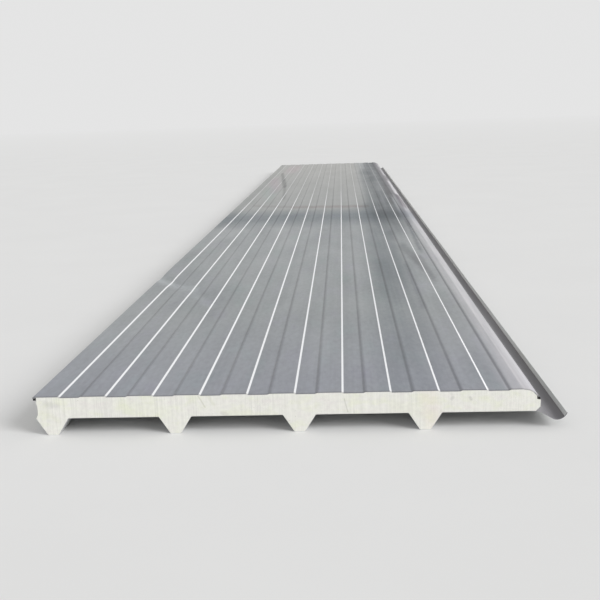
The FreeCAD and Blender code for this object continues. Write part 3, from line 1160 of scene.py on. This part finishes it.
class PANEL_OT_seals(bpy.types.Operator):
    """Build the two black sealing strips"""

    bl_idname = "panel.seals"
    bl_label = "Seals"

    def execute(self, context):
        """Lay one strip under the tongue and one in the slot under the lip."""
        core, liner = settings().core, settings().liner
        material = seal_material(settings().finish.seal)
        under_tongue = (-liner.root - core.seal_width,
                        LINER_HIGH.z - liner.hem - core.seal_height)
        for name, corner, node in (
            ("tongue_seal_strip", under_tongue, "tongue_seal"),
            ("lip_seal_strip", slot_corner(), "lip_seal"),
        ):
            low = Vector((rib_one() + corner[0], CAD_LOW.y, corner[1]))
            bm = bmesh.new()
            bmesh.ops.create_cube(bm, size=1.0)
            bmesh.ops.translate(bm, verts=bm.verts, vec=(0.5, 0.5, 0.5))
            length = CAD_HIGH.y - CAD_LOW.y
            bmesh.ops.scale(bm, verts=bm.verts, vec=(core.seal_width, length, core.seal_height))
            bmesh.ops.translate(bm, verts=bm.verts, vec=low)
            rounded = [edge for edge in bm.edges if lengthwise(edge)]
            bmesh.ops.bevel(
                bm, geom=rounded, offset=core.seal_edge, offset_type="OFFSET",
                segments=2, profile=0.5, affect="EDGES", material=-1
            )
            cut_for_wear(bm)
            settle(bm)
            make_piece(name, bm, [material], node)
        return {"FINISHED"}


class PANEL_OT_stage(bpy.types.Operator):
    """Build the floor, the lights and the camera"""

    bl_idname = "panel.stage"
    bl_label = "Stage"

    def execute(self, context):
        """Lay the floor, light it and aim the camera."""
        self.make_floor()
        self.make_world()
        self.make_lights()
        self.make_camera()
        context.scene.view_settings.view_transform = "Standard"
        return {"FINISHED"}

    def make_floor(self):
        """Wide pale disc that fades into the background far away."""
        studio = settings().studio
        bm = bmesh.new()
        bmesh.ops.create_circle(bm, cap_ends=True, segments=96, radius=90.0)
        material, tree = new_material("floor")
        pale = plain_colour(tree, studio.floor)
        clouds = grain(tree, (2.0, 2.0, 2.0), 4.0)
        matt = add_node(tree, "ShaderNodeBsdfDiffuse", varied(tree, pale, clouds, 0.99, 1.01))
        glow = add_node(tree, "ShaderNodeEmission", (*studio.background, 1.0))
        reach = vector_node(tree, "LENGTH", object_place(tree)).outputs["Value"]
        share = times(tree, remap(tree, reach, *FLOOR_FADE), self.seen_rays(tree))
        self.join(tree, share, matt, glow, "ShaderNodeOutputMaterial")
        add_mesh("floor", bm, [material])

    def seen_rays(self, tree):
        """One for rays from the eye, and for those mirrored or let through on the way."""
        rays = tree.nodes.new("ShaderNodeLightPath").outputs
        seen = math_node(tree, "MAXIMUM", rays["Is Camera Ray"], rays["Is Glossy Ray"])
        return math_node(tree, "MAXIMUM", seen, rays["Is Transmission Ray"])

    def join(self, tree, share, first, second, output):
        """Mixes two shaders by a share into the tree's output."""
        mix = add_node(tree, "ShaderNodeMixShader", share, first.outputs[0], second.outputs[0])
        add_node(tree, output, Surface=mix.outputs[0])

    def make_world(self):
        """Even light from all round, and a plain pale background."""
        studio = settings().studio
        world = bpy.data.worlds.new("studio")
        bpy.context.scene.world = world
        world.use_nodes = True
        tree = world.node_tree
        tree.nodes.clear()
        level = studio.ambient
        even = add_node(tree, "ShaderNodeBackground", (level, level, level, 1.0))
        plain = add_node(tree, "ShaderNodeBackground", (*studio.background, 1.0))
        self.join(tree, self.seen_rays(tree), even, plain, "ShaderNodeOutputWorld")

    def make_lights(self):
        """Soft light from the right, and a wide panel that glints in the steps."""
        studio = settings().studio
        data = bpy.data.lights.new("sun", "SUN")
        data.energy = studio.sun
        data.angle = studio.sun_softness
        self.aim(add_object("sun", data), SUN_PLACE, Vector((0.0, 0.0, 0.0)))

        data = bpy.data.lights.new("sheen", "AREA")
        data.shape = "RECTANGLE"
        data.size, data.size_y = 14.0, 13.0
        data.energy = studio.sheen * math.pi * data.size * data.size_y
        sheen = add_object("sheen", data)
        self.aim(sheen, SHEEN_PLACE, SHEEN_TARGET)
        sheen.visible_diffuse = False

    def aim(self, light, place, target):
        """Puts a light in its place, turned to a point and out of sight."""
        light.location = place
        light.rotation_euler = (target - place).to_track_quat("-Z", "Y").to_euler()
        light.visible_camera = False

    def make_camera(self):
        """Camera before the near end, turned a little to the left and tipped."""
        studio = settings().studio
        data = bpy.data.cameras.new("camera")
        data.sensor_width = 36.0
        data.angle = studio.view_angle
        data.clip_start, data.clip_end = 0.05, 300.0
        camera = add_object("camera", data)
        camera.location = (
            rib_one() + studio.eye_side, CAD_LOW.y - studio.eye_back, studio.eye_height
        )
        camera.rotation_euler = (math.pi / 2 - studio.look, 0.0, -studio.turn)
        camera.rotation_euler.rotate_axis("Z", studio.roll)
        bpy.context.scene.camera = camera


class PANEL_PT_sidebar(bpy.types.Panel):
    """Lists the steps that build the panel"""

    bl_idname = "PANEL_PT_sidebar"
    bl_label = "Roof panel"
    bl_space_type = "VIEW_3D"
    bl_region_type = "UI"
    bl_category = "Panel"

    def draw(self, context):
        """One button for each step."""
        for step_class in STEPS:
            self.layout.operator(step_class.bl_idname)


STEPS = (
    PANEL_OT_outer_sheet,
    PANEL_OT_liner_sheet,
    PANEL_OT_foam_core,
    PANEL_OT_seals,
    PANEL_OT_stage,
)
CLASSES = (
    OuterSheetSizes,
    LinerSizes,
    CoreSizes,
    WearSettings,
    Finish,
    Studio,
    PanelSettings,
    *STEPS,
    PANEL_PT_sidebar,
)


def register():
    """Add the classes and the scene's settings."""
    for added in CLASSES:
        bpy.utils.register_class(added)
    bpy.types.Scene.sandwich_panel = bpy.props.PointerProperty(type=PanelSettings)


def unregister():
    """Take the scene's settings and the classes away."""
    del bpy.types.Scene.sandwich_panel
    for added in reversed(CLASSES):
        bpy.utils.unregister_class(added)


def main():
    """Build the panel and its stage."""
    register()
    bpy.ops.panel.outer_sheet()
    bpy.ops.panel.liner_sheet()
    bpy.ops.panel.foam_core()
    bpy.ops.panel.seals()
    bpy.ops.panel.stage()


if __name__ == "__main__":
    main()
